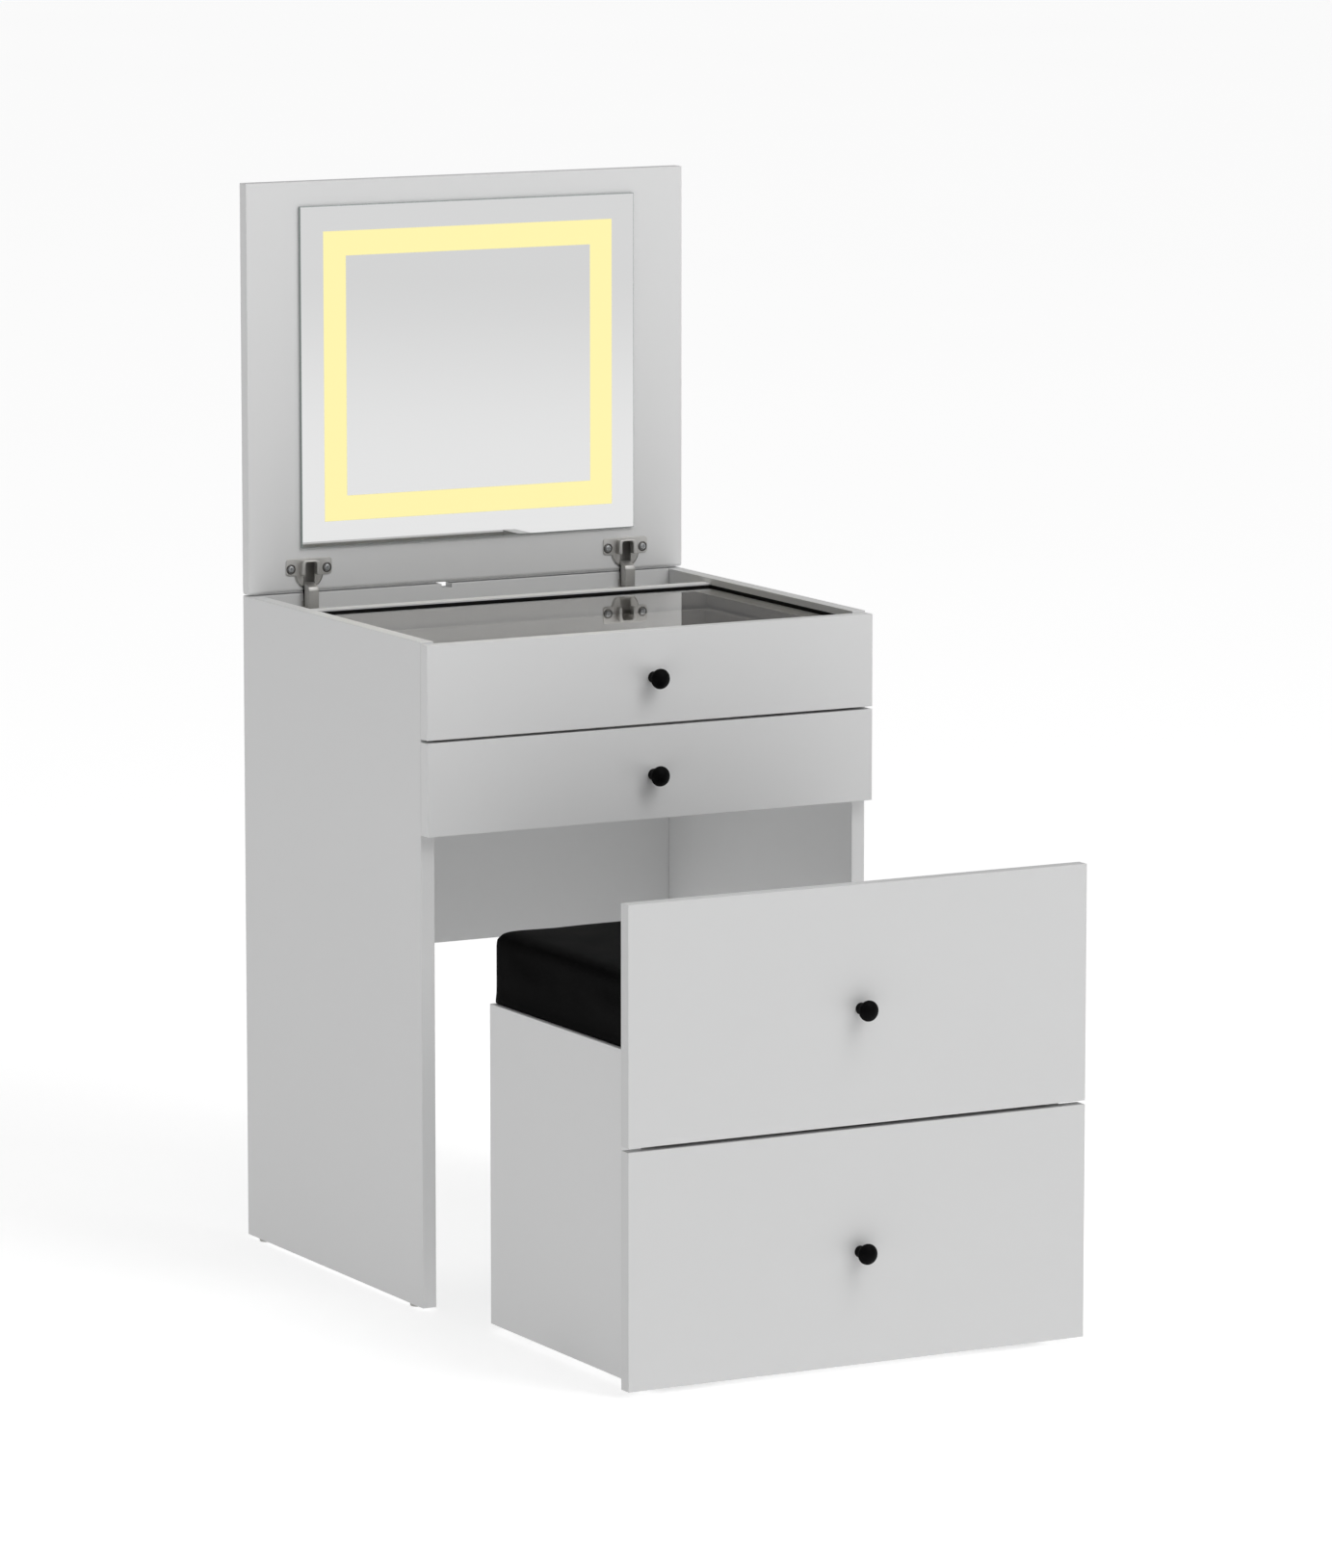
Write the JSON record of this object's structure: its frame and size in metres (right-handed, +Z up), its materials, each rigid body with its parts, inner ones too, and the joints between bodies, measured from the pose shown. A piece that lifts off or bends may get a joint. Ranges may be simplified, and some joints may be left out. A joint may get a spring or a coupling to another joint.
{
  "type": "dressing table",
  "caption": "Dressing table with two drawers, a glass inset and a lift-up lit mirror lid, with a roll-in stool that holds a drawer under a padded seat.",
  "frame": {"origin": "on the floor, at the middle of the box around the whole object with the lid open and the stool pulled out", "axes": "+X to the right of someone sitting at it, +Y towards the wall behind it, +Z up"},
  "size_m": [0.54, 0.922, 1.1737],
  "materials": {
    "white_laminate": "matt white melamine laminate",
    "drawer_box_laminate": "matt white melamine laminate",
    "white_hardboard": "smooth white lacquered hardboard",
    "black_knob": "satin black",
    "slide_steel": "zinc-plated",
    "nickel_steel": "nickel-plated",
    "zinc_steel": "zinc-plated",
    "castor_plastic": "matt black",
    "glide_plastic": "matt white",
    "grey_glass": "grey tinted, polished",
    "black_seal": "matt black",
    "mirror": "silvered, with a frosted light band",
    "warm_light": "lit warm white strip",
    "black_leather": "smooth black synthetic leather"
  },
  "bodies": {
    "table": {"side_panel_left": "white_laminate", "side_panel_right": "white_laminate", "back_panel": "white_laminate", "bottom_panel": "white_laminate", "front_rail": "white_laminate", "rear_rail": "white_laminate", "glass_ledges": "white_laminate", "glass_seal": "black_seal", "glass_top": "grey_glass", "drawer_1_rails": "slide_steel", "drawer_2_rails": "slide_steel", "hinge_arms": "nickel_steel", "hinge_plates": "nickel_steel", "hinge_plate_screws": "zinc_steel", "cam_locks": "zinc_steel", "cam_bolts": "zinc_steel", "floor_glides": "glide_plastic"},
    "lid": {"lid_panel": "white_laminate", "light_strip": "warm_light", "mirror_glass": "mirror", "hinge_cups": "nickel_steel", "hinge_cup_screws": "zinc_steel", "hinge_pins": "zinc_steel"},
    "drawer_1": {"drawer_1_front": "white_laminate", "drawer_1_box_left": "drawer_box_laminate", "drawer_1_box_right": "drawer_box_laminate", "drawer_1_box_back": "drawer_box_laminate", "drawer_1_base": "white_hardboard", "drawer_1_knob": "black_knob", "drawer_1_runners": "slide_steel"},
    "drawer_2": {"drawer_2_front": "white_laminate", "drawer_2_box_left": "drawer_box_laminate", "drawer_2_box_right": "drawer_box_laminate", "drawer_2_box_back": "drawer_box_laminate", "drawer_2_base": "white_hardboard", "drawer_2_knob": "black_knob", "drawer_2_runners": "slide_steel"},
    "stool": {"stool_side_left": "white_laminate", "stool_side_right": "white_laminate", "stool_rear_panel": "white_laminate", "stool_bottom_panel": "white_laminate", "stool_seat_board": "white_laminate", "stool_backrest": "white_laminate", "stool_backrest_knob": "black_knob", "stool_cam_fittings": "zinc_steel", "seat_cushion": "black_leather", "stool_drawer_rails": "slide_steel", "castor_brackets": "zinc_steel", "castor_axles": "zinc_steel"},
    "stool_drawer": {"stool_drawer_front": "white_laminate", "stool_drawer_box_left": "drawer_box_laminate", "stool_drawer_box_right": "drawer_box_laminate", "stool_drawer_box_back": "drawer_box_laminate", "stool_drawer_base": "white_hardboard", "stool_drawer_knob": "black_knob", "stool_drawer_runners": "slide_steel"},
    "castor_front_left": {"castor_wheel_front_left": "castor_plastic"},
    "castor_front_right": {"castor_wheel_front_right": "castor_plastic"},
    "castor_rear_left": {"castor_wheel_rear_left": "castor_plastic"},
    "castor_rear_right": {"castor_wheel_rear_right": "castor_plastic"}
  },
  "joints": [
    {"name": "lid_hinge", "type": "hinge", "parent": "table", "child": "lid", "pos_m": [0, 0.453, 0.7297], "axis": [1, 0, 0], "range_deg": [0, 90]},
    {"name": "drawer_1_slide", "type": "slide", "parent": "table", "child": "drawer_1", "axis": [0, -1, 0], "range_m": [0, 0.22]},
    {"name": "drawer_2_slide", "type": "slide", "parent": "table", "child": "drawer_2", "axis": [0, -1, 0], "range_m": [0, 0.3]},
    {"name": "stool_roll", "type": "slide", "parent": "table", "child": "stool", "axis": [0, 1, 0], "range_m": [-0.15, 0.448]},
    {"name": "stool_drawer_slide", "type": "slide", "parent": "stool", "child": "stool_drawer", "axis": [0, -1, 0], "range_m": [0, 0.21]},
    {"name": "castor_front_left_spin", "type": "hinge", "parent": "stool", "child": "castor_front_left", "pos_m": [-0.185, -0.376, 0.02], "axis": [1, 0, 0], "continuous": true},
    {"name": "castor_front_right_spin", "type": "hinge", "parent": "stool", "child": "castor_front_right", "pos_m": [0.185, -0.376, 0.02], "axis": [1, 0, 0], "continuous": true},
    {"name": "castor_rear_left_spin", "type": "hinge", "parent": "stool", "child": "castor_rear_left", "pos_m": [-0.185, -0.146, 0.02], "axis": [1, 0, 0], "continuous": true},
    {"name": "castor_rear_right_spin", "type": "hinge", "parent": "stool", "child": "castor_rear_right", "pos_m": [0.185, -0.146, 0.02], "axis": [1, 0, 0], "continuous": true}
  ]
}
